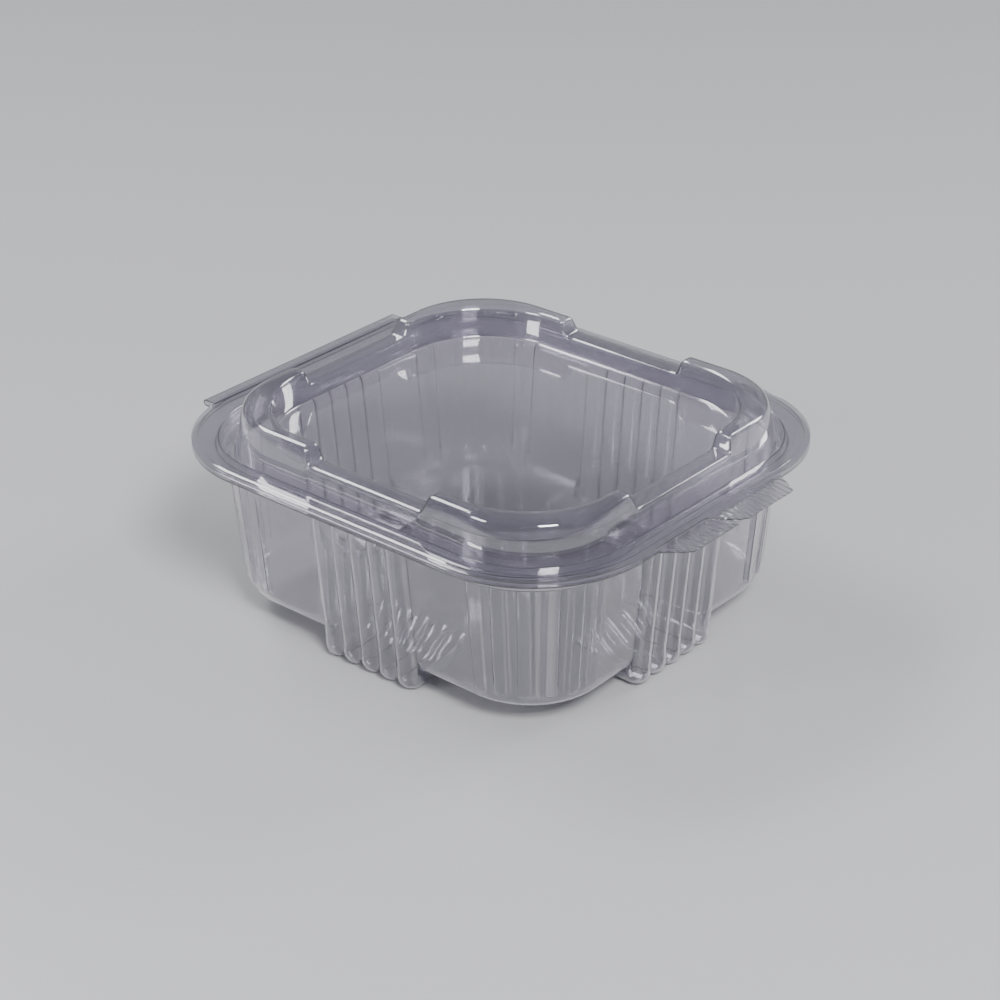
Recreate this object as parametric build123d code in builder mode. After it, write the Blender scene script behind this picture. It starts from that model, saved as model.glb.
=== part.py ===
from build123d import *
import math
import os

# Hinged clear food box, thermoformed from one thin sheet: a fluted tray on four ribbed
# feet and a domed lid with four stacking ridges, joined by a fold along the back.
# Millimetres. Z = 0 is the plane the feet stand on. X runs along the fold, and the
# finger tabs are on the -Y side. The origin is under the middle of the closed box.

SHEET = 0.5  # thickness of the formed sheet

# Levels, all on the outer side of the sheet
FLOOR_Z = 8.5  # underside of the tray floor, above the feet
SHOULDER_Z = 57.0  # where the tray wall steps out to its rim ring
TRAY_FLANGE_Z = 64.0  # top of the tray flange
LID_FLANGE_Z = 66.0  # top of the lid flange, and of the sunk centre panel
DECK_Z = 72.4  # flat ring around the sunk panel
RIDGE_Z = 78.2  # top of the corner ridges

# Fold along the back
FOLD_OUT = 3.6  # fold axis, beyond the flange edge
FOLD_Z = 64.4
FOLD_LENGTH = 99.0
FOLD_R = 0.8  # bead left by the folded sheet
LEAF_OVERLAP = 3.0  # how far the strip to the fold reaches in over the round-cornered flange

# Finger tabs on the front: root from and to, outer edge from and to, reach beyond the flange
TRAY_TAB = (-31.5, 0.6, -24.5, 0.6, 8.6)
LID_TAB = (-6.7, 35.2, 2.6, 29.2, 9.9)
TAB_DROP = 1.0  # how far the lid tab slopes down to its outer edge
TAB_OVERLAP = 0.3  # how far a tab's root reaches in over the flange edge
TAB_RIB_PITCH = 2.6
TAB_RIB_WIDTH = 1.5
TAB_RIB_SLOPE = 31.0  # degrees, of a rib's two flanks
TAB_RIB_START = 1.6  # from the flange edge to the ribs
TAB_MARGIN = 1.0  # left plain along a tab's other edges

# Outlines: half size along X and Y, corner radius, place of the centre along Y
CENTRE_Y = (LID_TAB[4] - FOLD_OUT - FOLD_R) / 2  # of the flange
FLANGE = (85.5, 93.7, 45.5, CENTRE_Y)
TRAY_FLOOR = (69.9, 75.3, 28.1, CENTRE_Y - 1.2)
RIM_RING = (78.0, 85.8, 38.0, CENTRE_Y - 0.4)
DECK = (72.5, 78.2, 33.0, CENTRE_Y - 2.4)
PANEL = (64.0, 69.5, 34.0, CENTRE_Y - 2.4)
TRAY_SPREAD = 4.4  # how far the tray wall leans out between floor and shoulder
RIM_SPREAD = 0.6
LID_SPREAD = 0.9  # of the dome wall, and of the wall round the panel
RIDGE_LEAN = 2.0  # how far a ridge's outer wall leans in above the deck

FRONT_Y = CENTRE_Y - FLANGE[1]
FOLD_Y = CENTRE_Y + FLANGE[1] + FOLD_OUT

FLOOR_ROUND = 3.0  # outer radius where the tray wall turns into the floor
TOP_ROUND = 1.8  # outer radius along the top of the ridges
ROUND_FLATS = 3  # a long rounded edge is made of this many narrow flats

OVERRUN = 1.1  # a form that ends inside another one is made this much longer

# Feet: five ribs side by side in the middle of each tray side
RIB_PITCH = 8.35
RIB_COUNT = 5
RIB_R = 5.0
RIB_SINK = 2.0  # rib axis behind the wall surface
RIB_FLAT = 0.15  # how much the soles of the ribs are flattened
FOOT_RUN = 14.0  # how far a rib runs inward under the floor
FOOT_RAMP = 11.0  # length of its sloping end, up to the floor
CORE_DEPTH = 2.0  # the block between the ribs reaches this far below their axes
CORE_MARGIN = 1.0  # and ends this far short of their walls

# Corner flutes
FLUTE_STEP = 16.0  # degrees between two flutes
FLUTE_COUNT = 6
FLUTE_SIDES = 10  # of the column that a flute is cut from, which stands out with one flat crest
FLUTE_R = 5.0  # from the column's axis to its crest
FLUTE_SINK = 3.9  # from its axis to the wall surface
FLUTE_LOW_Z = 12.0  # where a flute has run out into the wall
FLUTE_TIP = 3.2  # length over which it runs out

# Lid
PLUG_DEPTH = 6.3  # how far the lid plug reaches down inside the rim ring
PLUG_GAP = 0.5  # clearance between the plug and the rim ring
RIDGE_GAP = 50.6  # width of the gap between two ridges, at the deck
RIDGE_GAP_LEAN = 1.6  # how much each ridge end leans back at its top


def inner(outline, inset):
    """The same outline moved in by a distance."""
    half_x, half_y, radius, offset_y = outline
    return (half_x - inset, half_y - inset, radius - inset, offset_y)


def rounded(outline, z):
    """Rounded rectangle at a height."""
    half_x, half_y, radius, offset_y = outline
    with BuildSketch(Plane((0, offset_y, z))) as sketch:
        RectangleRounded(2 * half_x, 2 * half_y, radius)
    return sketch.sketch


def drafted(outline, low_z, high_z, spread):
    """Solid on a rounded outline, its walls leaning out by spread over its height."""
    height = high_z - low_z
    with BuildPart() as body:
        add(rounded(outline, low_z))
        extrude(amount=height, taper=-math.degrees(math.atan2(spread, height)))
    return body.part


def round_steps(radius):
    """Points down a rounded edge: how far in from the wall, and how far below the top."""
    angles = [math.pi / 2 * k / ROUND_FLATS for k in range(ROUND_FLATS + 1)]
    return [(radius * (1 - math.cos(a)), radius * (1 - math.sin(a))) for a in angles]


def rib_group(wall_low, inset):
    """Five ribs down one wall, round under the floor and back up to it.

    Local X runs along the wall and local Y points out of the box. wall_low is the
    distance of the wall at the floor.
    """
    axis_low = wall_low - RIB_SINK
    low_z = RIB_R - RIB_FLAT
    ramp_y = axis_low - FOOT_RUN
    heel = Vector(0, axis_low, low_z)
    wall = Vector(0, TRAY_SPREAD, SHOULDER_Z - FLOOR_Z)
    top = heel + wall * OVERRUN
    toe = Vector(0, ramp_y, low_z)
    end = Vector(0, ramp_y - FOOT_RAMP, FLOOR_Z + RIB_R)
    radius = RIB_R - inset
    with BuildPart() as rib:
        with BuildLine() as route:
            Polyline(top, heel, toe, end)
        with BuildSketch(Plane(origin=top, z_dir=heel - top)):
            Circle(radius)
        sweep(path=route.line, transition=Transition.RIGHT)
    # the ribs stand on a common block that closes the gaps between them
    width = (RIB_COUNT - 1) * RIB_PITCH
    with BuildPart() as group:
        with BuildSketch(Plane.YZ):
            with BuildLine():
                Polyline(
                    (axis_low - CORE_MARGIN, low_z - CORE_DEPTH + inset),
                    (axis_low - CORE_MARGIN, FLOOR_Z + 2 * RIB_R),
                    (ramp_y - FOOT_RAMP, FLOOR_Z + 2 * RIB_R),
                    (ramp_y - FOOT_RAMP + CORE_MARGIN, FLOOR_Z + inset),
                    (ramp_y, low_z - CORE_DEPTH + inset),
                    close=True,
                )
            make_face()
        extrude(amount=width / 2, both=True)
        with GridLocations(RIB_PITCH, 1, RIB_COUNT, 1):
            add(rib.part)
        # all heels are rounded by one cylinder along the wall
        with BuildSketch(Plane.YZ) as corner:
            with Locations((axis_low, low_z)):
                Rectangle(2 * radius, 2 * radius, align=(Align.MIN, Align.MAX))
                Circle(radius, mode=Mode.SUBTRACT)
        extrude(amount=width, both=True, mode=Mode.SUBTRACT)
    return group.part


def corner_flutes(corner, inset):
    """Shallow upright flutes around one corner, from the shoulder to just above the floor."""
    sign_x, sign_y = corner
    half_x, half_y, radius, centre_y = TRAY_FLOOR
    draft = TRAY_SPREAD / (SHOULDER_Z - FLOOR_Z)
    hub = Vector(sign_x * (half_x - radius), centre_y + sign_y * (half_y - radius), 0)
    tip_z = FLUTE_LOW_Z + FLUTE_TIP
    tip_lean = math.degrees(math.atan2(FLUTE_R - FLUTE_SINK, FLUTE_TIP))
    flutes = []
    for k in range(FLUTE_COUNT):
        angle = math.radians(45 + (k - (FLUTE_COUNT - 1) / 2) * FLUTE_STEP)
        out = Vector(sign_x * math.cos(angle), sign_y * math.sin(angle), 0)
        along = Vector(-out.Y, out.X, 0)
        low = hub + out * (radius + draft * (tip_z - FLOOR_Z) - FLUTE_SINK) + Vector(0, 0, tip_z)
        rise = out * draft + Vector(0, 0, 1)
        with BuildPart() as flute:
            with BuildSketch(Plane(origin=low, x_dir=along, z_dir=rise)):
                RegularPolygon(FLUTE_R - inset, FLUTE_SIDES, major_radius=False)
            extrude(amount=(SHOULDER_Z - tip_z) * OVERRUN)
            with BuildSketch(Plane(origin=low, x_dir=along, z_dir=-rise)):
                RegularPolygon(FLUTE_R - inset, FLUTE_SIDES, major_radius=False)
            extrude(amount=FLUTE_TIP * OVERRUN, taper=tip_lean)
        flutes.append(flute.part)
    return flutes


def tray_form(inset):
    """Outer form of the tray below its flange, or that form moved in by one sheet."""
    high_z = SHOULDER_Z + inset
    draft = TRAY_SPREAD / (SHOULDER_Z - FLOOR_Z)
    steps = [(inward, FLOOR_Z + inset + up) for inward, up in reversed(round_steps(FLOOR_ROUND - inset))]
    steps.append((-draft * (high_z - steps[-1][1]), high_z))
    with BuildPart() as form:
        for (low_in, low_z), (top_in, top_z) in zip(steps, steps[1:]):
            add(drafted(inner(TRAY_FLOOR, inset + low_in), low_z, top_z, low_in - top_in))
        centre = Plane((0, TRAY_FLOOR[3], 0))
        ends = rib_group(TRAY_FLOOR[0], inset)
        sides = rib_group(TRAY_FLOOR[1], inset)
        with Locations(centre):
            add(sides)
            add(sides, rotation=(0, 0, 180))
            add(ends, rotation=(0, 0, 90))
            add(ends, rotation=(0, 0, 270))
        for corner in [(1, 1), (-1, 1), (-1, -1), (1, -1)]:
            add(corner_flutes(corner, inset))
        # everything above the shoulder belongs to the rim ring
        split(bisect_by=Plane.XY.offset(high_z), keep=Keep.BOTTOM)
        add(drafted(inner(RIM_RING, RIM_SPREAD + inset), high_z, TRAY_FLANGE_Z + inset, RIM_SPREAD))
        # the soles are flat where they stand
        split(bisect_by=Plane.XY, keep=Keep.TOP)
    return form.part


def tab(shape, z, drop):
    """One ribbed finger tab, its upper side at z where it leaves the flange."""
    root_left, root_right, left, right, reach = shape
    slope = Plane(origin=(0, FRONT_Y, z), x_dir=(1, 0, 0), z_dir=(0, -drop, reach))
    length = math.hypot(reach, drop)
    count = int((right - left - 2 * TAB_MARGIN) / TAB_RIB_PITCH)
    with BuildPart() as piece:
        with BuildSketch(slope):
            with BuildLine():
                Polyline(
                    (root_left, TAB_OVERLAP), (left, -length), (right, -length), (root_right, TAB_OVERLAP),
                    close=True,
                )
            make_face()
        extrude(amount=-SHEET)
        with BuildSketch(slope * Plane.XZ.offset(TAB_RIB_START)):
            with Locations(((left + right) / 2, 0)):
                with GridLocations(TAB_RIB_PITCH, 1, count, 1):
                    Triangle(
                        a=TAB_RIB_WIDTH, B=TAB_RIB_SLOPE, C=TAB_RIB_SLOPE, align=(Align.CENTER, Align.MIN)
                    )
        extrude(amount=length - TAB_RIB_START - TAB_MARGIN)
    return piece.part


os.makedirs("parts", exist_ok=True)

# Strip of flange that runs on to the fold
with BuildSketch() as leaf:
    with Locations((0, FOLD_Y)):
        Rectangle(FOLD_LENGTH, FOLD_OUT + LEAF_OVERLAP, align=(Align.CENTER, Align.MAX))
fold_leaf = leaf.sketch

# Tray: one formed sheet, feet, flutes, floor, wall, rim ring, flange, tab and fold
with BuildPart() as tray:
    add(rounded(FLANGE, TRAY_FLANGE_Z - SHEET))
    extrude(amount=SHEET)
    add(tray_form(0.0))
    add(tab(TRAY_TAB, TRAY_FLANGE_Z, 0.0))
    with BuildSketch(Plane.XY.offset(TRAY_FLANGE_Z - SHEET)):
        add(fold_leaf)
    extrude(amount=SHEET)
    with Locations((0, FOLD_Y, FOLD_Z)):
        Cylinder(FOLD_R, FOLD_LENGTH, rotation=(0, 90, 0))
    add(tray_form(SHEET), mode=Mode.SUBTRACT)
tray.part.label = "tray"
export_step(tray.part, "parts/tray.step")

# Lid
PLUG = inner(RIM_RING, SHEET + PLUG_GAP)
PLUG_LOW_Z = LID_FLANGE_Z - PLUG_DEPTH


def lid_dome(inset):
    """Outer form of the dome above the plug's foot, or that form moved in by one sheet."""
    deck_z = DECK_Z - inset
    ridge_z = RIDGE_Z - inset
    gap = RIDGE_GAP + 2 * inset
    with BuildPart() as dome:
        low = inner(DECK, inset - LID_SPREAD)
        add(drafted(low, PLUG_LOW_Z - SHEET, deck_z, -LID_SPREAD))
        # corner ridges: a ring on the deck, cut away in the middle of each side
        steps = [(inward, ridge_z - down) for inward, down in round_steps(TOP_ROUND - inset)]
        lean = RIDGE_LEAN / (ridge_z - deck_z)
        add(drafted(inner(DECK, inset), deck_z, steps[0][1], -lean * (steps[0][1] - deck_z)))
        ridge = inner(DECK, inset + lean * (steps[0][1] - deck_z))
        for (low_in, low_z), (top_in, top_z) in zip(steps, steps[1:]):
            add(drafted(inner(ridge, low_in), low_z, top_z, low_in - top_in))
        for turn in range(4):
            angle = math.pi / 2 * turn
            side = Plane((0, DECK[3], 0), x_dir=(math.cos(angle), math.sin(angle), 0))
            with BuildSketch(side * Plane.XZ):
                end = [(gap / 2 + RIDGE_GAP_LEAN + inward, z) for inward, z in steps]
                with BuildLine():
                    Polyline((0, deck_z), (gap / 2, deck_z), *end, (0, ridge_z), close=True)
                make_face()
                mirror(about=Plane.YZ)
            extrude(amount=2 * DECK[1], mode=Mode.SUBTRACT)
        # the sunk panel, its wall rounded over at the top like the ridges
        panel_z = LID_FLANGE_Z - inset
        add(drafted(inner(PANEL, -inset), panel_z, steps[0][1], LID_SPREAD), mode=Mode.SUBTRACT)
        rim = inner(PANEL, -inset - LID_SPREAD)
        for (low_in, low_z), (top_in, top_z) in zip(steps, steps[1:]):
            add(drafted(inner(rim, -low_in), low_z, top_z, top_in - low_in), mode=Mode.SUBTRACT)
    return dome.part


with BuildPart() as lid:
    add(rounded(FLANGE, LID_FLANGE_Z - SHEET))
    extrude(amount=SHEET)
    add(drafted(inner(PLUG, RIM_SPREAD), PLUG_LOW_Z, LID_FLANGE_Z, RIM_SPREAD))
    add(
        drafted(inner(PLUG, RIM_SPREAD + SHEET), PLUG_LOW_Z + SHEET, LID_FLANGE_Z + SHEET, RIM_SPREAD),
        mode=Mode.SUBTRACT,
    )
    add(lid_dome(0.0))
    add(tab(LID_TAB, LID_FLANGE_Z, TAB_DROP))
    with BuildSketch(Plane.XY.offset(LID_FLANGE_Z - SHEET)):
        add(fold_leaf)
    extrude(amount=SHEET)
    add(lid_dome(SHEET), mode=Mode.SUBTRACT)
lid.part.label = "lid"
export_step(lid.part, "parts/lid.step")

for piece in (tray.part, lid.part):
    box = piece.bounding_box()
    print(piece.label, "volume", round(piece.volume), "size", box.size)
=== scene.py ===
# %% [markdown]
# # A clear hinged food box
#
# The object is one thin sheet of clear plastic, warmed until soft and drawn over a mould, then
# folded shut along its back edge. There is nothing in it but the sheet, so every edge, rib and
# corner shows through every other one, and all of the look comes from how the sheet is curved.
#
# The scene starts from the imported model. It gives the two halves of the box, the tray and the
# lid, as solids at their real size. Everything below is built in metres in that same frame.

import math

import bmesh
import bpy
from mathutils import Matrix, Vector


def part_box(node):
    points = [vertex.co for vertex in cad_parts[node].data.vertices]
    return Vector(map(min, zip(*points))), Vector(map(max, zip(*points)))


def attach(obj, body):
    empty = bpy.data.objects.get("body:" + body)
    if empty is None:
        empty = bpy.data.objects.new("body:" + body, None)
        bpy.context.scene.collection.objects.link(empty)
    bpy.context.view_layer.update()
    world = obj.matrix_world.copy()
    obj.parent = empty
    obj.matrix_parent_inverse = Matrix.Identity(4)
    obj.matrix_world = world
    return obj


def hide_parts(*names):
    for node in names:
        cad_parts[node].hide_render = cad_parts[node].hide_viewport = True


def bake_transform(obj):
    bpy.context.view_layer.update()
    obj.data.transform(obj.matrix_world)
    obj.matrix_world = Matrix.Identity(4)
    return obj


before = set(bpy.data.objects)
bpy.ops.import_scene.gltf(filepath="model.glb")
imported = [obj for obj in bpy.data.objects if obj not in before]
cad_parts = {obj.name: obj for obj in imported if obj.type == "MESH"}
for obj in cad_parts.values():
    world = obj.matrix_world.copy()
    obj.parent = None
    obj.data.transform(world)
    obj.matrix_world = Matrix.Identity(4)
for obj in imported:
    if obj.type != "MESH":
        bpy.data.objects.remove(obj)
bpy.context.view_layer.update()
MM = 0.001
tray_low, tray_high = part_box("tray")
lid_low, lid_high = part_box("lid")
print("tray", [round(v / MM, 1) for v in tray_low], [round(v / MM, 1) for v in tray_high])
print("lid", [round(v / MM, 1) for v in lid_low], [round(v / MM, 1) for v in lid_high])

# %% [markdown]
# ## Outlines and levels
#
# Every horizontal cut through the box is a rectangle with round corners. So a place on the sheet
# is written as a *ring*: half size along X and Y, corner radius, the Y of its centre, and its
# height. All are in millimetres, because that is how a mould maker reads them, and they turn
# into metres only when a vertex is placed. What the frame's boxes give is read from them.

# %% Outlines and levels
SHEET = 0.5  # thickness of the sheet
FOLD_OUT = 3.6  # from the flange's edge to the fold's axis
FOLD_BEAD = 0.8  # how far the fold stands out beyond its axis
FLANGE_DEPTH = 93.7  # half size of the flange along Y
CENTRE_Y = tray_high.y / MM - FOLD_BEAD - FOLD_OUT - FLANGE_DEPTH

FLANGE = Vector((tray_high.x / MM, FLANGE_DEPTH, 45.5, CENTRE_Y))
RIM_RING = Vector((78.0, 85.8, 38.0, CENTRE_Y - 0.4))
FLOOR = Vector((69.9, 75.3, 28.1, CENTRE_Y - 1.2))
DECK = Vector((72.5, 78.2, 33.0, CENTRE_Y - 2.4))
PANEL = Vector((64.0, 69.5, 34.0, CENTRE_Y - 2.4))
ALL_ROUND = Vector((1.0, 1.0, 1.0, 0.0))  # moves a line outwards by the same amount everywhere

FLOOR_Z = 8.5  # underside of the tray's floor
SHOULDER_Z = 57.0  # where the wall steps out to the rim ring
TRAY_FLANGE_Z = 64.0
LID_FLANGE_Z = 66.0  # and the level of the sunk panel
MOAT_Z = 60.2  # bottom of the groove inside the lid's plug
DECK_Z = 72.4  # flat ring round the panel
RIDGE_Z = lid_high.z / MM

LIP = 1.7  # width of the flange's trimmed edge
LIP_DROP = 0.35  # how far it lies below the flange
LIP_STEP = 0.5  # width of the slope between them
LIP_TURN = 0.25


def ring(outline, outward, z):
    """One horizontal line round the box, moved out from an outline."""
    return (*(outline + ALL_ROUND * outward), z)


def mixed(a, b, share):
    """The ring that lies between two rings."""
    return tuple(p + (q - p) * share for p, q in zip(a, b))


print("flange", [round(v, 1) for v in FLANGE], "ridge top", round(RIDGE_Z, 1))

# %% [markdown]
# ## Profiles with soft turns
#
# Warm sheet never folds to a sharp edge: each turn of the profile is a small curve. A profile is
# therefore a list of rings, each with how far from its corner the turn starts, and the corner is
# replaced by a few rings on a quadratic curve that leaves and meets its neighbours smoothly.
# Rounding the profile before the surface exists is easier than beveling afterwards, when four
# corners and twenty ribs cross it.

# %% Rounded profiles
def profile_length(a, b):
    """Distance between two rings, measured in the cut through the middle of one side."""
    return math.hypot(a[0] - b[0], a[4] - b[4])


def rounded_profile(stops, turn_steps=4):
    """Rings along a profile. Each stop is (ring, its turn, rings on the way to the next)."""
    rings = []
    for i, (here, turn, between) in enumerate(stops):
        if turn and 0 < i < len(stops) - 1:
            before, after = stops[i - 1][0], stops[i + 1][0]
            enter = mixed(here, before, turn / profile_length(here, before))
            leave = mixed(here, after, turn / profile_length(here, after))
            for k in range(turn_steps + 1):
                t = k / turn_steps
                rings.append(mixed(mixed(enter, here, t), mixed(here, leave, t), t))
        else:
            rings.append(here)
        if i < len(stops) - 1:
            goal, goal_turn = stops[i + 1][0], stops[i + 1][1]
            if goal_turn and i + 1 < len(stops) - 1:
                goal = mixed(goal, here, goal_turn / profile_length(goal, here))
            start = rings[-1]
            for k in range(1, between + 1):
                rings.append(mixed(start, goal, k / (between + 1)))
    return rings


right_angle = [
    (ring(FLANGE, 0.0, 1.0), 0, 0),
    (ring(FLANGE, -1.0, 1.0), 0.5, 0),
    (ring(FLANGE, -1.0, 0.0), 0, 0),
]
print("a right angle becomes", len(rounded_profile(right_angle)), "rings")

# %% [markdown]
# ## Stations round the box
#
# The other direction of the surface runs round the box. A *station* says where on every ring one
# column of vertices stands: on a side, at a distance from its middle, or on a corner, at a share
# of its turn. The stations are close together where the sheet has ribs and far apart where it is
# plain, so the detail is paid for only where it shows.

# %% Stations
SIDE_KEEP = 29.0  # within this distance of a side's middle, stations keep their place on all rings
FRONT = 0  # the sides are counted anticlockwise from the front
STATION_GAP = 0.15  # stations stay at least this far apart


def place(station, at):
    """Point, in metres, of a station on a ring."""
    kind, side, value = station
    half_x, half_y, radius, centre_y, z = at
    turn = math.radians(90 * side - 90)
    out = Vector((math.cos(turn), math.sin(turn)))
    along = Vector((-out.y, out.x))
    reach, half = (half_y, half_x) if side % 2 == 0 else (half_x, half_y)
    centre = Vector((0.0, centre_y))
    straight = half - radius
    if kind == "side":
        step = abs(value)
        if step > SIDE_KEEP:  # the last stretch, from 0 to 1, fills what is left of the side
            step = SIDE_KEEP + (step - SIDE_KEEP) * (straight - SIDE_KEEP)
        flat = centre + out * reach + along * math.copysign(step, value)
    else:
        angle = math.radians(90 * value)
        hub = centre + out * (reach - radius) + along * straight
        flat = hub + (out * math.cos(angle) + along * math.sin(angle)) * radius
    return Vector((flat.x, flat.y, z)) * MM


def stations_round(side_places, corner_shares):
    """All stations, anticlockwise from the front. side_places gives the list for each side."""
    found = []
    for side in range(4):
        found += [("side", side, along) for along in side_places[side]]
        found += [("corner", side, share) for share in corner_shares]
    return found


def both_ways(steps):
    """Distances on both sides of a middle, in order, without repeats."""
    return sorted({round(sign * step, 4) for step in steps for sign in (-1, 1)})


def merged(places, extra, gap=STATION_GAP):
    """Places with the extra ones that aren't too close to any of them."""
    kept = list(places)
    for place_on_side in extra:
        if all(abs(place_on_side - other) >= gap for other in kept):
            kept.append(place_on_side)
    return sorted(kept)


middle_of_front = place(("side", FRONT, 0.0), ring(FLANGE, 0, TRAY_FLANGE_Z))
print("middle of the front edge at", [round(v / MM, 1) for v in middle_of_front], "mm")

# %% [markdown]
# ## A sheet from rings
#
# The surface itself is made the way a potter throws: start with one closed loop of edges, extrude
# the loop, and set the new vertices down on the next ring. Each vertex remembers its station in an
# integer layer, which the extrusion copies to the new ones, so no order has to be tracked. The
# last loop is closed with one flat face.
#
# This surface is the sheet's outer side. The sheet gets its thickness inwards from there, with
# bmesh's solidify, and edges sharper than 50 degrees are marked so that the trimmed edge of the
# sheet stays crisp while every formed turn is shaded smooth.

# %% Throwing the sheet
SHARP = math.radians(50)
START_RADIUS = 0.1  # of the first loop, before its vertices are set down


def finished_piece(name, bm, outside):
    """Object of a surface, with its wall. The face that lies furthest this way looks this way."""
    bmesh.ops.recalc_face_normals(bm, faces=list(bm.faces))
    furthest = max(bm.faces, key=lambda face: face.calc_center_median().dot(Vector(outside)))
    if furthest.normal.dot(Vector(outside)) < 0:
        bmesh.ops.reverse_faces(bm, faces=list(bm.faces))
    bmesh.ops.solidify(bm, geom=list(bm.faces), thickness=SHEET * MM)
    mesh = bpy.data.meshes.new(name)
    bm.to_mesh(mesh)
    bm.free()
    mesh.shade_smooth()
    mesh.set_sharp_from_angle(angle=SHARP)
    piece = bpy.data.objects.new(name, mesh)
    bpy.context.scene.collection.objects.link(piece)
    low = min(v.co.z for v in mesh.vertices) / MM
    high = max(v.co.z for v in mesh.vertices) / MM
    print(name, len(mesh.polygons), "faces, from z", round(low, 2), "to", round(high, 2))
    return piece


def thrown_sheet(name, stations, profile_of, outside):
    """A closed piece of sheet: profile_of(station) gives the rings from the rim to the centre."""
    bm = bmesh.new()
    tag = bm.verts.layers.int.new("station")
    made = bmesh.ops.create_circle(bm, cap_ends=False, segments=len(stations), radius=START_RADIUS)
    paths = [[place(s, at) for at in profile_of(s)] for s in stations]
    loop = sorted(made["verts"], key=lambda v: math.atan2(v.co.y, v.co.x))
    for number, vert in enumerate(loop):
        vert[tag] = number
        vert.co = paths[number][0]
    edges = list(bm.edges)
    for level in range(1, len(paths[0])):
        grown = bmesh.ops.extrude_edge_only(bm, edges=edges)["geom"]
        edges = [g for g in grown if isinstance(g, bmesh.types.BMEdge) and not g.link_faces[1:]]
        for vert in (g for g in grown if isinstance(g, bmesh.types.BMVert)):
            vert.co = paths[vert[tag]][level]
    bmesh.ops.edgeloop_fill(bm, edges=edges)
    print(name, len(stations), "stations,", len(paths[0]), "rings")
    return finished_piece(name, bm, outside)


# %% [markdown]
# ## Flange, lip and finger tabs
#
# Both halves end in a flat flange whose trimmed edge, the lip, lies a little lower. On the front
# each flange runs out into a finger tab, the tray's left of the middle and the lid's right of it.
# A tab is not a piece of its own but the same sheet, so it is made by pulling the lip's rings
# outwards over a stretch of the front. Fine ribs run out along it, for grip and to stiffen it.

# %% Tabs and lip
LIP_RINGS = 7  # from the trimmed edge to the lip's inner line
TAB_RIB_PITCH = 2.6
TAB_RIB_HEIGHT = 0.22
TAB_RIB_START = 1.6  # from the flange's edge to the ribs
TAB_RIB_RISE = 1.0  # length over which a rib rises from the sheet
TAB_RIB_LEAST = 2.0  # where the tab reaches out less than this it has no ribs
TAB_RIB_FADE = 3.0  # and where it reaches this much further they have their full height
TAB_STATIONS = 8  # on each rib
TAB_ROOT = 0.4  # a station stands this far beside each end of a tab's root
TAB_EASE = 0.3  # how softly the left outer corner is rounded, as a share of the tab's reach
TRAY_TAB = {"root": (-31.5, 1.0), "outer": (-24.5, 0.2), "reach": 8.6, "drop": 0.0}
LID_TAB = {"root": (-6.7, 35.2), "outer": (2.6, 29.2), "reach": 9.9, "drop": 1.0}


def eased(share):
    """A share from 0 to 1 that starts and ends without a kink."""
    share = min(max(share, 0.0), 1.0)
    return share * share * (3 - 2 * share)


def tab_reach(tab, x):
    """How far the tab stands out beyond the flange at a place along the front."""
    left = (x - tab["root"][0]) / (tab["outer"][0] - tab["root"][0])
    right = (tab["root"][1] - x) / (tab["root"][1] - tab["outer"][1])
    near = max(TAB_EASE - abs(left - 1), 0.0) / TAB_EASE
    left = min(left, 1.0) - near * near * TAB_EASE / 4
    return tab["reach"] * max(min(left, right), 0.0)


def front_x(value):
    """Place of a front station on the flange's ring."""
    if abs(value) <= SIDE_KEEP:
        return value
    past = (abs(value) - SIDE_KEEP) * (FLANGE.x - FLANGE.z - SIDE_KEEP)
    return math.copysign(SIDE_KEEP + past, value)


def front_value(x):
    """The station's value for a place on the flange's ring."""
    past = (abs(x) - SIDE_KEEP) / (FLANGE.x - FLANGE.z - SIDE_KEEP)
    return x if past <= 0 else math.copysign(SIDE_KEEP + past, x)


def lip_rings(station, tab, level):
    """Rings from the trimmed edge to the lip's inner line, pulled out where there is a tab."""
    kind, side, value = station
    reach, x = 0.0, 0.0
    if kind == "side" and side == FRONT:
        x = front_x(value)
        reach = tab_reach(tab, x)
    middle = sum(tab["outer"]) / 2
    rings = []
    for k in range(LIP_RINGS):
        outward = reach - (reach + LIP) * k / LIP_RINGS
        beyond = max(outward, 0.0)
        wave = 0.5 + 0.5 * math.cos(2 * math.pi * (x - middle) / TAB_RIB_PITCH)
        wave *= eased((beyond - TAB_RIB_START) / TAB_RIB_RISE)
        wave *= eased((reach - TAB_RIB_LEAST) / TAB_RIB_FADE)
        slope = tab["drop"] * beyond / tab["reach"]
        rings.append(ring(FLANGE, outward, level - LIP_DROP - slope + TAB_RIB_HEIGHT * wave))
    return rings


def front_with_tab(side_places, tab):
    """The places of a plain side, with those that a tab's outline and ribs need."""
    first, last = tab["root"]
    steps = round((last - first) / TAB_RIB_PITCH * TAB_STATIONS)
    outline = [first - TAB_ROOT, first, *tab["outer"], last, last + TAB_ROOT]
    ribs = [first + (last - first) * k / steps for k in range(steps + 1)]
    places = merged(merged([front_x(value) for value in side_places], outline), ribs)
    return [front_value(x) for x in places]


print("tabs reach", TRAY_TAB["reach"], "and", LID_TAB["reach"], "mm beyond the flange")

# %% [markdown]
# ## Ribs and flutes
#
# In the middle of each side five half-round ribs run down the wall, pass under the floor and come
# up again: together they are one foot. Round each corner six shallower flutes stop just above the
# floor. A rib is a cylinder sunk into the wall, so a station only has to know its distance from the
# nearest rib's axis: that gives the width of the cylinder's cut there, and the profile follows. A
# flute is a flat crest with soft flanks, so it is a height that depends on the same distance.

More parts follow.
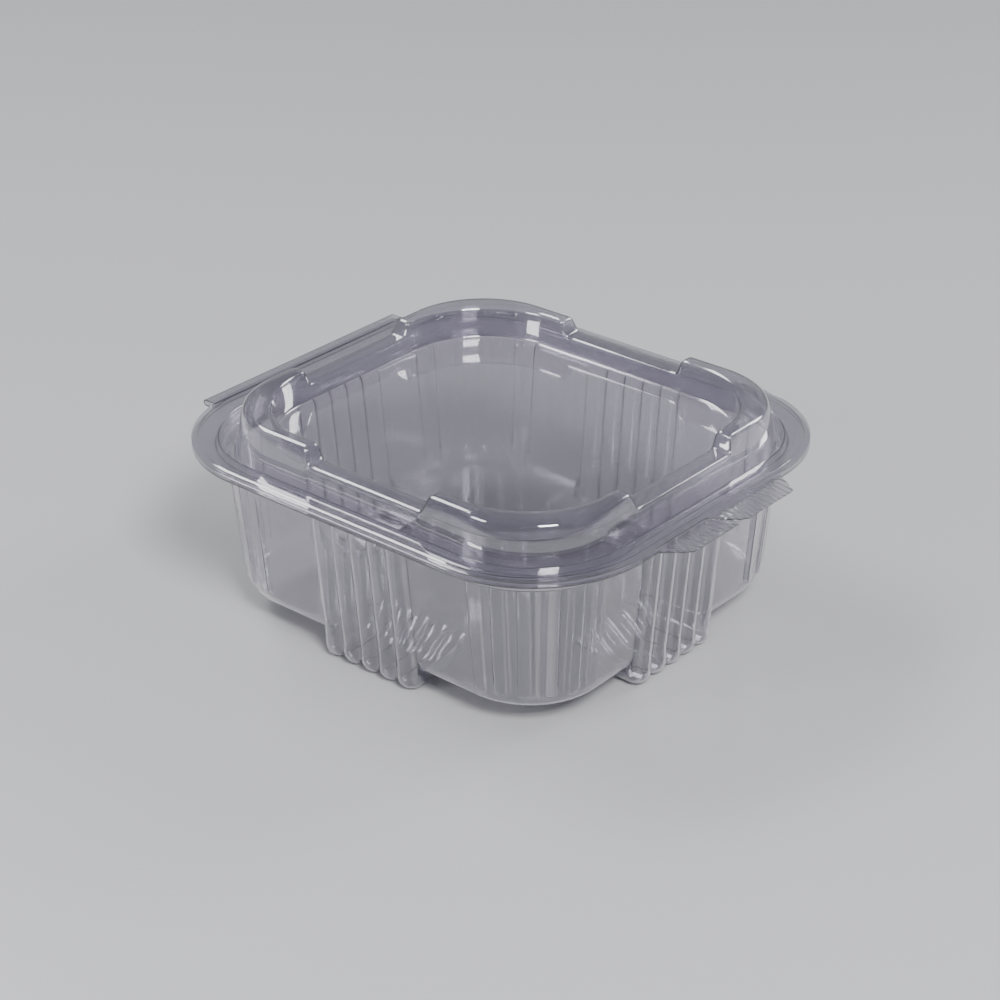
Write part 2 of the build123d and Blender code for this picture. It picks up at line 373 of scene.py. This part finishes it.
# %% Ribs and flutes
RIB_PITCH = 8.35
RIB_R = 5.0
RIB_SINK = 2.0  # rib axis behind the wall
SOLE_FLAT = 0.15  # how much the soles are flattened where they stand
RIB_AXIS_Z = RIB_R - SOLE_FLAT
RIB_AXES = [RIB_PITCH * k for k in (-2, -1, 0, 1, 2)]
FOOT_RUN = 14.0  # how far a rib runs in under the floor
FOOT_RAMP = 11.0  # length of its sloping end, up to the floor
WALL_SPREAD = 4.4  # how far the wall leans out between the floor and the shoulder
DRAFT = WALL_SPREAD / (SHOULDER_Z - FLOOR_Z)
FLUTE_STEP = math.radians(16)
FLUTE_ANGLES = [math.pi / 4 + FLUTE_STEP * k for k in (-2.5, -1.5, -0.5, 0.5, 1.5, 2.5)]
FLUTE_HEIGHT = 1.2
FLUTE_HALF = 3.2  # half width at the wall
FLUTE_FLANK = 1.3  # width of a flank
FLUTE_END_Z = 15.4  # middle of a flute's round end


def cut_width(distance, radius):
    """Half chord of a cylinder at a distance from its axis."""
    return math.sqrt(max(radius * radius - distance * distance, 0.0))


def nearest(value, axes):
    """Distance to the nearest of these axes."""
    return min(abs(value - axis) for axis in axes)


def flute_bulge(share, z):
    """How far the wall stands out at a place on a corner and at a height."""
    radius = FLOOR.z + DRAFT * (z - FLOOR_Z)
    distance = nearest(share * math.pi / 2, FLUTE_ANGLES) * radius
    distance = math.hypot(distance, max(FLUTE_END_Z - z, 0.0))
    return FLUTE_HEIGHT * eased((FLUTE_HALF - distance) / FLUTE_FLANK)


print("ribs at", [round(axis, 2) for axis in RIB_AXES], "mm, flutes to a corner", len(FLUTE_ANGLES))

# %% [markdown]
# ## The tray's profile
#
# Seen in a cut, the tray goes from its flange down the rim ring, in along the shoulder, down the
# wall and in under the floor. Where there is a rib, the wall stands further out and the floor is
# replaced by the rib's sole and its ramp. Every profile has the same number of rings, whatever
# it goes through, because each column of the surface has to meet the next one ring by ring.

# %% Tray profile
WALL_TOP_Z = SHOULDER_Z - 2.0  # below the soft turn of the shoulder
WALL_LEVELS = [50.0, 42.0, 34.0, 26.0, 20.0, 16.8, 15.6, 15.0, 14.4, 13.8, 13.2, 12.6, 12.1]
RIM_SPREAD = 0.6  # how far the rim ring leans out
RIM_TURN = 0.9  # where it meets the flange
SHOULDER_TURN = 0.8  # where it meets the shoulder, and the shoulder the wall
TURN_SHARE = 0.45  # but no more than this share of the shoulder, which is narrow over a rib
FLOOR_ROUND = 3.0  # where the wall turns into the floor
FLOOR_STEPS = 5
RAMP_RINGS = 8  # from the foot of the wall to the end of a ramp
TOE_RINGS = 3  # of them on the bend where a ramp starts
FOOT_FILLET = 0.9  # where the floor turns down into a foot
FILLET_FADE = 5.0  # length over which this ends, past the foot
FLAT_FLOOR = [(29.5, 4.0), (31.0, 3.5)]  # rings on the flat floor: distance from the wall, radius


def wall_ring(outward, z):
    """Ring on the tray wall at a height, pushed out by a rib or flute."""
    return ring(FLOOR, DRAFT * max(z - FLOOR_Z, 0.0) + outward, z)


def rim_rings(proud):
    """Flange underside, rim ring and shoulder, down to a wall that stands this far out."""
    under = TRAY_FLANGE_Z - SHEET
    foot = RIM_RING - ALL_ROUND * RIM_SPREAD
    gap = foot.x - wall_ring(proud, SHOULDER_Z)[0]
    turn = min(SHOULDER_TURN, TURN_SHARE * gap)
    return rounded_profile([
        (ring(FLANGE, -LIP, under - LIP_DROP), 0, 0),
        (ring(FLANGE, -LIP - LIP_STEP, under), LIP_TURN, 2),
        (ring(RIM_RING, 0, under), RIM_TURN, 1),
        (ring(foot, 0, SHOULDER_Z), turn, 0),
        (wall_ring(proud, SHOULDER_Z), turn, 0),
        (wall_ring(proud, WALL_TOP_Z), 0, 0),
    ], turn_steps=3)


def plain_profile(share, sag):
    """Wall and floor where there is no rib. On a corner, share says where, for the flutes.

    sag is how far the floor bends down beside a foot.
    """
    def bulge(z):
        return flute_bulge(share, z) if share is not None else 0.0

    rings = rim_rings(bulge(SHOULDER_Z))
    rings += [wall_ring(bulge(z), z) for z in WALL_LEVELS]
    for k in range(FLOOR_STEPS + 1):
        angle = math.pi / 2 * k / FLOOR_STEPS
        inward = FLOOR_ROUND * (1 - math.cos(angle))
        rings.append(ring(FLOOR, -inward, FLOOR_Z + FLOOR_ROUND * (1 - math.sin(angle))))
    last = FOOT_RUN + FOOT_RAMP - RIB_SINK
    for k in range(1, RAMP_RINGS + 1):
        inward = FLOOR_ROUND + (last - FLOOR_ROUND) * k / RAMP_RINGS
        here_sag = sag * eased((last - inward) / FILLET_FADE)
        rings.append(ring(FLOOR, -inward, FLOOR_Z - here_sag))
    return rings


def sole_z(depth):
    """Height of a rib's surface, this far below its axis."""
    return max(RIB_AXIS_Z - depth, 0.0)


def rib_profile(width):
    """Wall and foot on a rib, where the cylinder is cut at this half width."""
    proud = max(width - RIB_SINK, 0.0)
    rings = rim_rings(proud)
    count = len(WALL_LEVELS)
    for k in range(1, count + 1):
        z = WALL_TOP_Z + (RIB_AXIS_Z + RIB_SINK - WALL_TOP_Z) * k / count
        rings.append(wall_ring(proud, z))
    for k in range(FLOOR_STEPS + 1):
        angle = math.pi / 2 * k / FLOOR_STEPS
        outward = width * math.cos(angle) - RIB_SINK
        rings.append(ring(FLOOR, outward, sole_z(width * math.sin(angle))))
    slope = math.atan2(FLOOR_Z + RIB_R - RIB_AXIS_Z, FOOT_RAMP)
    toe = RIB_SINK + FOOT_RUN
    for k in range(TOE_RINGS):
        angle = slope * k / (TOE_RINGS - 1)
        inward = toe + width * math.sin(angle)
        rings.append(ring(FLOOR, -inward, sole_z(width * math.cos(angle))))
    start_in = toe + width * math.sin(slope)
    start_z = sole_z(width * math.cos(slope))
    climb = (FLOOR_Z - start_z) / math.tan(slope)
    steps = RAMP_RINGS - TOE_RINGS
    for k in range(1, steps + 1):
        share = k / steps
        z = start_z + (FLOOR_Z - start_z) * share
        rings.append(ring(FLOOR, -start_in - climb * share, z))
    return rings


def tray_profile(station):
    """Rings of the tray, from its trimmed edge to the flat of the floor."""
    kind, side, value = station
    distance = nearest(value, RIB_AXES)
    if kind == "corner":
        body = plain_profile(value, 0.0)
    elif distance < RIB_R:
        body = rib_profile(cut_width(distance, RIB_R))
    else:
        past = (distance - RIB_R) / FOOT_FILLET
        body = plain_profile(None, FOOT_FILLET * max(1 - past, 0.0) ** 2)
    flat = []
    for inward, radius in FLAT_FLOOR:
        half_x, half_y, _, centre_y = FLOOR - ALL_ROUND * inward
        flat.append((half_x, half_y, radius, centre_y, FLOOR_Z))
    return lip_rings(station, TRAY_TAB, TRAY_FLANGE_Z - SHEET) + body + flat


for label, along in (("rib", 0.0), ("plain wall", SIDE_KEEP)):
    lowest = min(at[4] for at in tray_profile(("side", FRONT, along)))
    print(label, "profile reaches down to z", round(lowest, 2))

# %% [markdown]
# ## The tray
#
# The stations on each side sit on the ribs: on the axis, on both flanks and in the groove between
# two ribs, with a few close together where the outermost flank drops below the floor. The corners
# do the same for the flutes, and the front has those of the finger tab as well.

# %% Tray
RIB_STEPS = (0.0, 0.65, 1.25, 2.0, 2.7, 3.3, 3.8, RIB_PITCH / 2)
RIB_EDGE = (4.6, 4.85, 4.97, 5.1, 5.3, 5.55, 5.9)
PLAIN_STEPS = (24.5, 27.0, SIDE_KEEP, SIDE_KEEP + 0.35, SIDE_KEEP + 0.7, SIDE_KEEP + 1.0)
FLUTE_STEPS = 15  # stations across one flute and its groove
CORNER_END = 0.005  # no station stands nearer than this share to the end of a corner


def rib_side():
    """Places along a side with a foot."""
    places = {round(axis + step, 4) for axis in RIB_AXES for step in both_ways(RIB_STEPS)}
    places |= {round(sign * (RIB_AXES[-1] + step), 4) for step in RIB_EDGE for sign in (-1, 1)}
    return sorted(places | set(both_ways(PLAIN_STEPS)))


def flute_corner():
    """Shares of a corner's turn, close together over its flutes."""
    first = FLUTE_ANGLES[0] - FLUTE_STEP / 2
    count = len(FLUTE_ANGLES) * FLUTE_STEPS
    shares = [(first + FLUTE_STEP * k / FLUTE_STEPS) / (math.pi / 2) for k in range(count + 1)]
    return [share for share in shares if CORNER_END < share < 1 - CORNER_END]


front_side = front_with_tab(rib_side(), TRAY_TAB)
tray_stations = stations_round([front_side] + [rib_side()] * 3, flute_corner())
tray_sheet = thrown_sheet("tray_sheet", tray_stations, tray_profile, (0, 0, -1))
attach(tray_sheet, "tray")
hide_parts("tray")

# %% [markdown]
# ## The lid
#
# The lid's profile has two forms. Across the middle of a side it climbs to a flat deck and drops
# to the sunk panel, and round a corner it climbs higher, to a ridge that keeps a stacked box in
# place. Both forms have the same number of rings, so a station in between simply mixes them, and
# the mix from 0 to 1 over a few millimetres is the ridge's end: a leaning face, rounded at its top.

# %% Lid profiles
RIDGE_END = 25.3  # from the middle of a side to the foot of a ridge's end
RIDGE_END_LEAN = 1.6  # how far the end leans back before its top is rounded
RIDGE_LEAN = 2.0  # how far the outer wall of a ridge leans in
FOOT_TURN = 0.8  # where a ridge's end meets the deck
TOP_TURN = 1.8  # along the top of the deck and the ridges
PANEL_TURN = 1.2  # round the sunk panel
PLUG_GAP = 0.5  # between the rim ring and the lid's plug
MOAT = RIM_RING - ALL_ROUND * (2 * SHEET + PLUG_GAP)  # the lid's groove, inside the plug
MOAT_TURNS = (0.8, 0.7, 0.7)  # at its top, its outer foot and its inner foot
LID_SPREAD = 0.9  # how far the dome wall and the panel's wall lean
DOME_LEAN = 0.1  # of this, what is left near the top of the dome wall
DOME_TOP_DEPTH = 2.5  # and how far below the deck that is
PANEL_DRAFT = LID_SPREAD / (RIDGE_Z - LID_FLANGE_Z)
PANEL_FLAT = (12.0, 15.0)  # the panel is flat from here on, in from its edge


def lid_profile_with(top_z, lean):
    """Rings from the lip's inner line over one form of the rim, to the flat of the panel."""
    return rounded_profile([
        (ring(FLANGE, -LIP, LID_FLANGE_Z - LIP_DROP), 0, 0),
        (ring(FLANGE, -LIP - LIP_STEP, LID_FLANGE_Z), LIP_TURN, 2),
        (ring(MOAT, 0, LID_FLANGE_Z), MOAT_TURNS[0], 1),
        (ring(MOAT, -RIM_SPREAD, MOAT_Z), MOAT_TURNS[1], 0),
        (ring(DECK, LID_SPREAD, MOAT_Z), MOAT_TURNS[2], 1),
        (ring(DECK, DOME_LEAN, DECK_Z - DOME_TOP_DEPTH), 0, 1),
        (ring(DECK, -lean, top_z), TOP_TURN, 2),
        (ring(PANEL, PANEL_DRAFT * (top_z - LID_FLANGE_Z), top_z), TOP_TURN, 2),
        (ring(PANEL, 0, LID_FLANGE_Z), PANEL_TURN, 3),
        (ring(PANEL, -PANEL_FLAT[0], LID_FLANGE_Z), 0, 0),
        (ring(PANEL, -PANEL_FLAT[1], LID_FLANGE_Z), 0, 0),
    ])


gap_rings = lid_profile_with(DECK_Z, 0.0)
ridge_rings = lid_profile_with(RIDGE_Z, RIDGE_LEAN)
print("lid profiles have", len(gap_rings), "and", len(ridge_rings), "rings")


def ridge_share(past):
    """How far up a ridge the sheet has come, this far past the foot of the ridge's end."""
    rise = RIDGE_Z - DECK_Z
    slope = (rise - TOP_TURN) / RIDGE_END_LEAN
    if past < FOOT_TURN:
        height = slope * max(past + FOOT_TURN, 0.0) ** 2 / (4 * FOOT_TURN)
    elif past < RIDGE_END_LEAN:
        height = slope * past
    else:
        back = min((past - RIDGE_END_LEAN) / TOP_TURN, 1.0)
        height = rise - TOP_TURN + TOP_TURN * cut_width(1.0 - back, 1.0)
    return height / rise


def lid_profile(station):
    """Rings of the lid, from its trimmed edge to the flat of the panel."""
    kind, side, value = station
    ridge = ridge_share(abs(value) - RIDGE_END) if kind == "side" else 1.0
    body = [mixed(a, b, ridge) for a, b in zip(gap_rings, ridge_rings)]
    return lip_rings(station, LID_TAB, LID_FLANGE_Z) + body


# %% [markdown]
# ## The lid's sheet
#
# The lid is thrown in the same way as the tray, with its outer side up. Its walls have no ribs,
# so it needs few stations, apart from the ends of the ridges and the finger tab.

# %% Lid
DECK_STEPS = (0.0, 6.0, 12.0, 18.0, 22.0)
END_STEPS = (-0.8, -0.4, 0.0, 0.4, 0.8, 1.2, 1.6, 1.75, 2.0, 2.4, 2.9, 3.4)
LAST_STRETCH = (0.25, 0.5, 0.75, 1.0)


def lid_side():
    """Places along a side of the lid, close together on the ends of its ridges."""
    steps = list(DECK_STEPS)
    steps += [RIDGE_END + step for step in END_STEPS]
    steps += [SIDE_KEEP + share for share in LAST_STRETCH]
    return both_ways(steps)


CORNER_STEPS = 32
lid_corner = [k / CORNER_STEPS for k in range(1, CORNER_STEPS)]
lid_front = front_with_tab(lid_side(), LID_TAB)
lid_stations = stations_round([lid_front] + [lid_side()] * 3, lid_corner)
lid_sheet = thrown_sheet("lid_sheet", lid_stations, lid_profile, (0, 0, 1))
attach(lid_sheet, "lid")
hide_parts("lid")

# %% [markdown]
# ## The fold
#
# Along the back the two flanges are one strip, bent round on itself when the box is closed. The
# strip crosses the joint; here it is made as one piece of its own, in its closed shape, and is
# attached to neither the tray nor the lid.

# %% Fold
FOLD_LENGTH = 99.0
FOLD_Y = tray_high.y / MM - FOLD_BEAD
FOLD_Z = (LID_FLANGE_Z + TRAY_FLANGE_Z - SHEET) / 2
FOLD_BEND = LID_FLANGE_Z - FOLD_Z  # radius of the bend
FOLD_OVERLAP = 1.5  # how far the strip's leaves reach in over the flanges
FOLD_ROOT_Y = FOLD_Y - FOLD_OUT - FOLD_OVERLAP
BEND_STEPS = 12
LENGTH_STEPS = 44


def fold_profile():
    """Points of the fold's outer side, from the lid's flange round to the tray's."""
    middle = FOLD_Y + FOLD_BEAD - FOLD_BEND
    points = [(FOLD_ROOT_Y, FOLD_Z + FOLD_BEND)]
    for k in range(BEND_STEPS + 1):
        angle = math.pi * (0.5 - k / BEND_STEPS)
        points.append((middle + FOLD_BEND * math.cos(angle), FOLD_Z + FOLD_BEND * math.sin(angle)))
    points.append((FOLD_ROOT_Y, FOLD_Z - FOLD_BEND))
    return points


fold_points = fold_profile()
fold_bm = bmesh.new()
last_row = len(fold_points) - 1
bmesh.ops.create_grid(fold_bm, x_segments=LENGTH_STEPS, y_segments=last_row, size=0.5)
for vert in fold_bm.verts:
    y, z = fold_points[round((vert.co.y + 0.5) * last_row)]
    vert.co = Vector((vert.co.x * FOLD_LENGTH, y, z)) * MM
fold = finished_piece("fold", fold_bm, (0, 1, 0))
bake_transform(fold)

# %% [markdown]
# ## Clear plastic
#
# Clear PET is glass with a lower gloss: it lets light through, bends it a little and mirrors the
# room at a flat angle. This sheet has a faint grey, slightly violet tint, which adds up where one
# looks through several layers. A drawn sheet is never quite even. It was pulled down the walls, so
# its surface has slow waves that are longer along the draw than across it, and they make every
# reflection swim. Over them lies a much finer grain, from the rollers that made the flat sheet.
#
# On a pale floor a clear wall nearly disappears. A coat with a higher index than the sheet's own
# makes its highlights stronger, so that the ribs and flutes still read.

# %% Shader helper
class Socket:
    """A shader value that can be used in sums, differences and products."""

    def __init__(self, material, link):
        self.material, self.link = material, link

    def _maths(self, operation, a, b):
        return self.material.make("ShaderNodeMath", {"operation": operation}, {0: a, 1: b})

    def __add__(self, other):
        return self._maths("ADD", self, other)

    def __mul__(self, other):
        return self._maths("MULTIPLY", self, other)

    def __sub__(self, other):
        return self._maths("SUBTRACT", self, other)

    def __rsub__(self, other):
        return self._maths("SUBTRACT", other, self)

    __radd__ = __add__
    __rmul__ = __mul__


class Material:
    """A node material, with one method that adds any node."""

    def __init__(self, name):
        self.data = bpy.data.materials.new(name)
        self.data.use_nodes = True
        self.nodes = self.data.node_tree.nodes
        self.nodes.clear()

    def make(self, kind, settings=None, values=None, out=0):
        """Add a node. Its settings come first, and a value may be a Socket."""
        node = self.nodes.new(kind)
        for key, value in (settings or {}).items():
            setattr(node, key, value)
        for key, value in (values or {}).items():
            if isinstance(value, Socket):
                self.data.node_tree.links.new(value.link, node.inputs[key])
            else:
                node.inputs[key].default_value = value
        return Socket(self, node.outputs[out]) if node.outputs else node


# %% Clear sheet
TINT = (0.765, 0.745, 0.805, 1.0)
PET_IOR = 1.57
DRAW = (1.0, 1.0, 0.25)  # the waves are four times as long up the walls as across them
WAVES_PER_METRE = 45.0
GRAINS_PER_METRE = 420.0
WAVE_DEPTH = 0.0006


def clear_sheet():
    """The one material of the whole box."""
    mat = Material("clear_sheet")
    where = mat.make("ShaderNodeTexCoord", out="Object")
    drawn = mat.make("ShaderNodeMapping", {}, {"Vector": where, "Scale": DRAW})
    slow = mat.make(
        "ShaderNodeTexNoise", {}, {"Vector": drawn, "Scale": WAVES_PER_METRE, "Detail": 2.0}
    )
    fine = mat.make(
        "ShaderNodeTexNoise", {}, {"Vector": where, "Scale": GRAINS_PER_METRE, "Detail": 2.0}
    )
    bump = mat.make(
        "ShaderNodeBump", {},
        {"Strength": 0.3, "Distance": WAVE_DEPTH, "Height": slow * 0.9 + fine * 0.05},
    )
    surface = mat.make(
        "ShaderNodeBsdfPrincipled", {},
        {
            "Base Color": TINT,
            "Roughness": slow * 0.06 + 0.02,
            "IOR": PET_IOR,
            "Transmission Weight": 1.0,
            "Coat Weight": 1.0,
            "Coat IOR": 1.8,
            "Coat Roughness": 0.03,
            "Normal": bump,
        },
    )
    mat.make("ShaderNodeOutputMaterial", {}, {"Surface": surface})
    return mat.data


plastic = clear_sheet()
pieces = (tray_sheet, lid_sheet, fold)
for piece in pieces:
    piece.data.materials.append(plastic)
print("clear sheet on", len(pieces), "pieces")

# %% [markdown]
# ## Floor, light and camera
#
# The box stands on a plain pale floor with a soft sheen. Four soft lights stand round it, and the
# bent sheet mirrors them as small bright windows. The strongest is on the camera's side, because
# a strong one behind the box would be mirrored by the whole flat lid. The camera stands where the
# photographer stood: above the front corner, a little under a metre away.

# %% Floor
FLOOR_SIZE = 20.0  # in metres
FLOOR_COLOUR = (0.6, 0.6, 0.62, 1.0)
FLOOR_ROUGHNESS = 0.32
FLOOR_GAP = 0.05  # in millimetres, below the soles, so that no two flat faces coincide
floor_bm = bmesh.new()
bmesh.ops.create_grid(floor_bm, x_segments=1, y_segments=1, size=FLOOR_SIZE / 2)
bmesh.ops.translate(floor_bm, verts=floor_bm.verts, vec=(0, 0, -FLOOR_GAP * MM))
floor_mesh = bpy.data.meshes.new("floor")
floor_bm.to_mesh(floor_mesh)
floor_bm.free()
floor = bpy.data.objects.new("floor", floor_mesh)
bpy.context.scene.collection.objects.link(floor)
paper = Material("pale_floor")
pale = paper.make(
    "ShaderNodeBsdfPrincipled", {}, {"Base Color": FLOOR_COLOUR, "Roughness": FLOOR_ROUGHNESS}
)
paper.make("ShaderNodeOutputMaterial", {}, {"Surface": pale})
floor_mesh.materials.append(paper.data)
print("floor", FLOOR_SIZE, "m wide, at z", -FLOOR_GAP, "mm")

# %% Light
ROOM_COLOUR = (0.8, 0.82, 0.88, 1.0)
ROOM_STRENGTH = 0.35
LIGHT_AIM = Vector((0, 0, 0.04))
scene = bpy.context.scene
world = bpy.data.worlds.new("room")
scene.world = world
world.use_nodes = True
room = world.node_tree.nodes["Background"]
room.inputs["Color"].default_value = ROOM_COLOUR
room.inputs["Strength"].default_value = ROOM_STRENGTH


def soft_light(name, location, size, power):
    """A rectangular light that looks at the box."""
    data = bpy.data.lights.new(name, "AREA")
    data.shape = "RECTANGLE"
    data.size, data.size_y = size
    data.energy = power
    lamp = bpy.data.objects.new(name, data)
    lamp.location = location
    aim = LIGHT_AIM - Vector(location)
    lamp.rotation_euler = aim.to_track_quat("-Z", "Y").to_euler()
    scene.collection.objects.link(lamp)


soft_light("key", (-0.6, -1.05, 1.25), (0.5, 0.5), 27.0)
soft_light("back", (-0.05, 1.0, 1.15), (0.9, 0.45), 10.0)
soft_light("right", (1.2, -0.5, 0.7), (0.4, 0.6), 7.0)
soft_light("left", (-1.2, 0.5, 0.6), (0.4, 0.4), 5.0)
print("lights", {lamp.name: lamp.energy for lamp in bpy.data.lights})

# %% Camera
AZIMUTH = math.radians(-49.23)
ELEVATION = math.radians(27.95)
ROLL = math.radians(-0.503)
DISTANCE = 0.873
TARGET = Vector((-0.00586, CENTRE_Y * MM - 0.00459, 0.04175))
SENSOR = 36.0
FOCAL_PIXELS = 2481.09
FRAME_PIXELS = 1000
BOUNCES = 32  # a ray may cross a dozen walls, and goes in and out of each

back = Vector((
    math.sin(AZIMUTH) * math.cos(ELEVATION),
    -math.cos(AZIMUTH) * math.cos(ELEVATION),
    math.sin(ELEVATION),
))
right = Vector((math.cos(AZIMUTH), math.sin(AZIMUTH), 0.0))
up = back.cross(right)
rolled_right = right * math.cos(ROLL) + up * math.sin(ROLL)
rolled_up = up * math.cos(ROLL) - right * math.sin(ROLL)
lens = bpy.data.cameras.new("camera")
lens.sensor_width = SENSOR
lens.lens = SENSOR * FOCAL_PIXELS / FRAME_PIXELS
camera = bpy.data.objects.new("camera", lens)
turned = Matrix((rolled_right, rolled_up, back)).transposed().to_4x4()
camera.matrix_world = Matrix.Translation(TARGET + back * DISTANCE) @ turned
scene.collection.objects.link(camera)
scene.camera = camera
scene.cycles.max_bounces = BOUNCES
scene.cycles.transmission_bounces = BOUNCES
scene.cycles.transparent_max_bounces = BOUNCES
print("camera at", [round(v, 3) for v in camera.location], "lens", round(lens.lens, 1))
